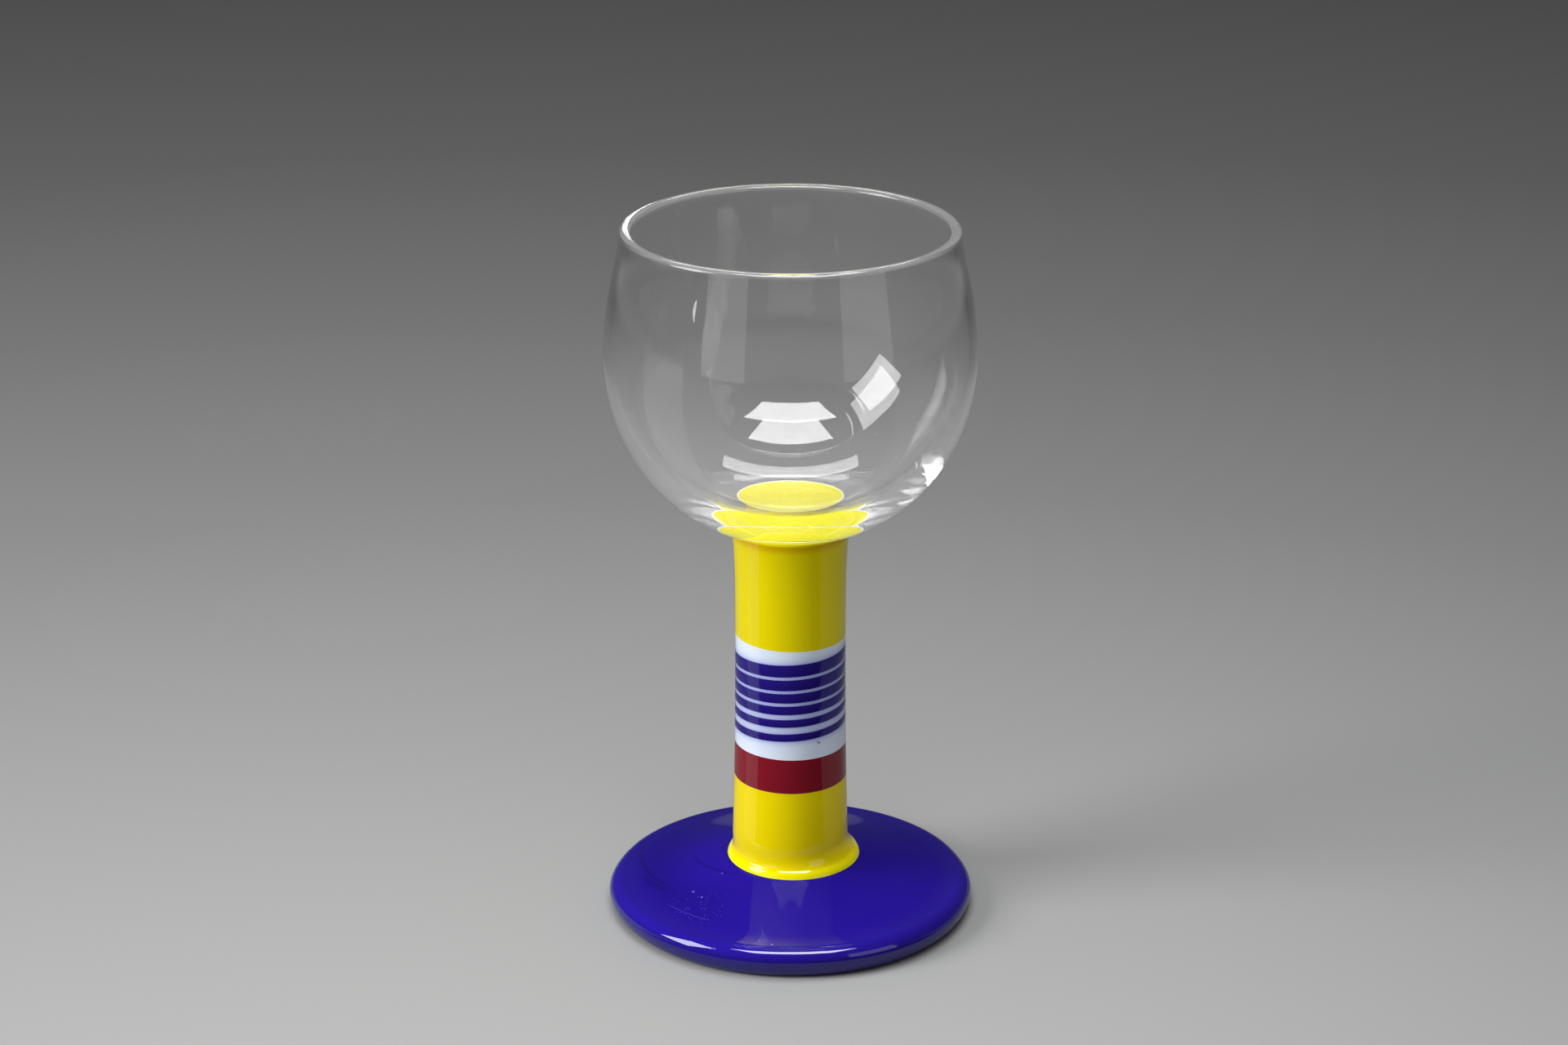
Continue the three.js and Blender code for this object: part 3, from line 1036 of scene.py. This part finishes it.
@dataclass
class Softbox:
    """One rectangular studio lamp or reflector board."""

    name: str
    place: Triple
    aim: Triple
    size: Pair  # metres
    brightness: float  # what its face shows in a mirror, where 1 is white
    roll: float = 0.0  # degrees about its own axis
    mirrored: bool = True  # whether glossy surfaces show it
    passes: bool = True  # whether it shows through glass
    lights: bool = True  # whether matt surfaces are lit by it
    only_for: tuple[bpy.types.Object, ...] = ()  # the pieces that it lights and shows in, or none for all

    def build(self) -> None:
        """Hang the lamp, turn it to its aim and roll it."""
        lamp = bpy.data.lights.new(self.name, "AREA")
        lamp.shape = "RECTANGLE"
        lamp.size, lamp.size_y = self.size
        lamp.energy = self.brightness * math.pi * self.size[0] * self.size[1]
        hung = bpy.data.objects.new(self.name, lamp)
        hung.location = self.place
        facing = (Vector(self.aim) - Vector(self.place)).to_track_quat("-Z", "Y")
        hung.rotation_euler = (facing @ Quaternion((0, 0, 1), math.radians(self.roll))).to_euler()
        hung.visible_camera = False
        hung.visible_glossy = self.mirrored
        hung.visible_transmission = self.passes
        hung.visible_diffuse = self.lights
        if self.only_for:
            shown_in = bpy.data.collections.new(f"{self.name}_shown_in")
            for piece in self.only_for:
                shown_in.objects.link(piece)
            hung.light_linking.receiver_collection = shown_in
        bpy.context.scene.collection.objects.link(hung)


@dataclass
class Studio:
    """Pale floor with painted shade that darkens it with distance, soft lamps, and the camera; in metres."""

    bowl: bpy.types.Object
    stem_pieces: tuple[bpy.types.Object, ...]
    foot: bpy.types.Object
    floor_half: float = 12.0
    camera_place: Triple = (-0.00153, -0.7368, 0.3773)
    camera_pitch: float = 20.723  # degrees below level
    camera_lens: float = 76.33  # millimetres
    camera_sensor: float = 36.0  # millimetres
    camera_clip: Pair = (0.01, 100.0)
    light_bounces: int = 28
    room_light: float = 0.15  # the room's brightness as matt surfaces are lit by it
    room_mirrored: float = 0.06  # the room's brightness as glass mirrors it
    room_through: float = 0.4  # the room's brightness as it shows through glass
    palest_ahead: float = 0.25  # how far before the goblet the paper is palest
    # the paper's grey by distance from there, its two ends first: a painted shade of the light falling off
    paper: Stops = ((0.18, "A9A9A9"), (1.0, "6C6C6C"), (0.35, "989898"), (0.54, "848484"), (0.75, "767676"))
    near_paper: float = 0.055  # distance from the axis within which glass mirrors the paper as it is
    # how pale glass mirrors the floor beyond that, from each bearing on, in degrees from the front: painted
    # reflection of the left lamp's sheen, painted shade towards the camera
    painted_floor_reflection: Stops = ((-180.0, "707070"), (-98.0, "ACACAC"), (-67.0, "141414"), (63.0, "787878"))
    far_floor: Pair = (1.1, 1.6)  # distances between which the floor seen through glass gives way to the room
    far_floor_light: float = 0.25

    def floor(self) -> bpy.types.Object:
        """Lay the floor.

        Returns:
            The floor.
        """
        bm = bmesh.new()
        bmesh.ops.create_grid(bm, x_segments=1, y_segments=1, size=self.floor_half)
        mesh = bpy.data.meshes.new("studio_floor")
        bm.to_mesh(mesh)
        bm.free()
        mesh.materials.append(self.floor_material())
        laid = bpy.data.objects.new("studio_floor", mesh)
        bpy.context.scene.collection.objects.link(laid)
        return laid

    def floor_material(self) -> bpy.types.Material:
        """Build the floor's matt paper, palest before the goblet with painted shade further away, and dark
        towards the camera with painted reflection and shade in mirrors.

        Returns:
            The material.
        """
        made, tree = new_material("matt_grey_paper")
        place = add_node(tree, "TexCoord").outputs["Object"]
        # painted shade: the paper darkens with distance from a spot before the goblet
        moved = add_node(tree, "VectorMath", {0: place, 1: (0.0, self.palest_ahead, 0.0)},
                         operation="ADD")
        away = add_node(tree, "VectorMath", {0: moved.outputs[0]}, operation="LENGTH")
        ramp = add_node(tree, "ValToRGB", {"Fac": away.outputs["Value"]})
        fill_ramp(ramp, self.paper)
        # painted reflection and shade: glass sees the floor beyond near_paper in a grey set by bearing
        spot = add_node(tree, "SeparateXYZ", {0: place})
        ahead = add_node(tree, "Math", {0: spot.outputs["Y"], 1: -1.0}, operation="MULTIPLY")
        bearing = add_node(tree, "Math", {0: spot.outputs["X"], 1: ahead.outputs[0]},
                           operation="ARCTAN2")
        whole = add_node(tree, "MapRange", {0: bearing.outputs[0], 1: -math.pi, 2: math.pi})
        painted_sheen = add_node(tree, "ValToRGB", {"Fac": whole.outputs[0]})
        painted_sheen.color_ramp.interpolation = "CONSTANT"
        fill_ramp(painted_sheen, tuple(((degrees + 180) / 360, grey) for degrees, grey in self.painted_floor_reflection))
        path = add_node(tree, "LightPath")
        mirror = add_node(tree, "Math", {
            0: path.outputs["Is Glossy Ray"], 1: path.outputs["Is Transmission Ray"]},
            operation="GREATER_THAN")
        reach = add_node(tree, "VectorMath", {0: place}, operation="LENGTH")
        far = add_node(tree, "Math", {0: reach.outputs["Value"], 1: self.near_paper},
                       operation="GREATER_THAN")
        both = add_node(tree, "Math", {0: mirror.outputs[0], 1: far.outputs[0]},
                        operation="MULTIPLY")
        paper = add_node(tree, "Mix", {
            0: both.outputs[0], 6: ramp.outputs["Color"], 7: painted_sheen.outputs["Color"]}, data_type="RGBA")
        distant = add_node(tree, "MapRange", {
            0: reach.outputs["Value"], 1: self.far_floor[0], 2: self.far_floor[1], 4: self.far_floor_light})
        seen = add_node(tree, "Math", {
            0: distant.outputs[0], 1: path.outputs["Is Transmission Ray"]}, operation="MULTIPLY")
        surface(tree, paper.outputs[2], {
            "Roughness": 0.9, "Specular IOR Level": 0.2,
            "Emission Color": linear("FFFFFF"), "Emission Strength": seen.outputs[0]})
        made.cycles.emission_sampling = "NONE"
        return made

    def world(self) -> None:
        """Fill the room with a weak even light."""
        room = bpy.data.worlds.new("studio_room")
        room.use_nodes = True
        tree = room.node_tree
        tree.nodes.clear()
        path = add_node(tree, "LightPath")
        mirrored = add_node(tree, "MapRange", {
            0: path.outputs["Is Glossy Ray"], 3: self.room_light, 4: self.room_mirrored})
        level = add_node(tree, "Mix", {
            0: path.outputs["Is Transmission Ray"], 2: mirrored.outputs[0], 3: self.room_through})
        glow = add_node(tree, "Background", {
            "Color": linear("FFFFFF"), "Strength": level.outputs[0]})
        add_node(tree, "OutputWorld", {"Surface": glow.outputs[0]})
        bpy.context.scene.world = room

    def camera(self) -> None:
        """Set the camera where the photograph was taken from."""
        view = bpy.data.cameras.new("photo_camera")
        view.lens = self.camera_lens
        view.sensor_width = self.camera_sensor
        view.clip_start, view.clip_end = self.camera_clip
        holder = bpy.data.objects.new("photo_camera", view)
        holder.location = self.camera_place
        holder.rotation_euler = (math.radians(90 - self.camera_pitch), 0, 0)
        bpy.context.scene.collection.objects.link(holder)
        bpy.context.scene.camera = holder

    def lamps(self, floor: bpy.types.Object) -> None:
        """Hang the softboxes, stand the reflector boards, and light matt surfaces from above.

        Args:
            floor: the floor, which the left softbox lights.
        """
        bowl = (0.0, 0.0, 0.145)
        left, left_roll = ((-1.028, -0.354, 0.652), bowl, (0.51, 0.67)), -16.0
        front, front_size = (0.0, -0.4975, 1.05), (0.83, 0.61)
        board = (0.0, 0.0, 0.25)
        for box in (
            Softbox("left_softbox", *left, 13.0, roll=left_roll,
                    only_for=(floor, self.foot, *self.stem_pieces)),
            Softbox("left_softbox_in_bowl", *left, 10.0, roll=left_roll, lights=False, only_for=(self.bowl,)),
            Softbox("front_top_softbox", front, (0.0, -0.9875, 0.18), front_size, 16.0, lights=False),
            Softbox("front_fill", front, bowl, front_size, 2.2, mirrored=False, passes=False),
            Softbox("back_top_panel", (0.0, 0.775, 1.1), (0.0, 0.775, 0.0), (1.1, 0.4), 7.0, lights=False,
                    only_for=(self.bowl,)),
            Softbox("left_board", (-0.649, -0.760, 0.25), board, (0.48, 0.5), 1.2, passes=False,
                    lights=False, only_for=(self.bowl, *self.stem_pieces)),
            Softbox("right_board", (0.731, -0.682, 0.25), board, (0.57, 0.5), 1.1, passes=False,
                    lights=False),
            Softbox("overhead_fill", (0.0, 0.1, 1.2), (0.0, 0.1, 0.0), (0.7, 0.7), 4.6,
                    mirrored=False, passes=False),
        ):
            box.build()

    def build(self) -> None:
        """Set up the whole studio."""
        self.camera()
        self.world()
        self.lamps(self.floor())
        scene = bpy.context.scene
        scene.view_settings.view_transform = "Standard"
        # light runs a long way inside the bowl's floor, from wall to wall, before it meets the stem
        scene.cycles.max_bounces = self.light_bounces
        scene.cycles.glossy_bounces = self.light_bounces
        scene.cycles.transmission_bounces = self.light_bounces
        # lamps keep their brightness when they are seen in glass
        scene.cycles.sample_clamp_indirect = 0.0


def main() -> None:
    """Build the goblet's pieces in the frame, then the studio round them."""
    logging.basicConfig(level=logging.INFO, format="%(name)s %(message)s")
    foot = Foot(NodeSpan.of("foot")).build()
    stem = Stem(NodeSpan.of("stem"), NodeSpan.of("red_band"), NodeSpan.of("white_band"))
    thread = Thread(stem)
    stem_pieces = (stem.build(), thread.build(), *Bands(stem, thread).build())
    bowl_span = NodeSpan.of("bowl")
    bowl = Bowl(bowl_span, stem.radius(bowl_span.bottom)).build()
    Studio(bowl, stem_pieces, foot).build()


if __name__ == "__main__":
    main()
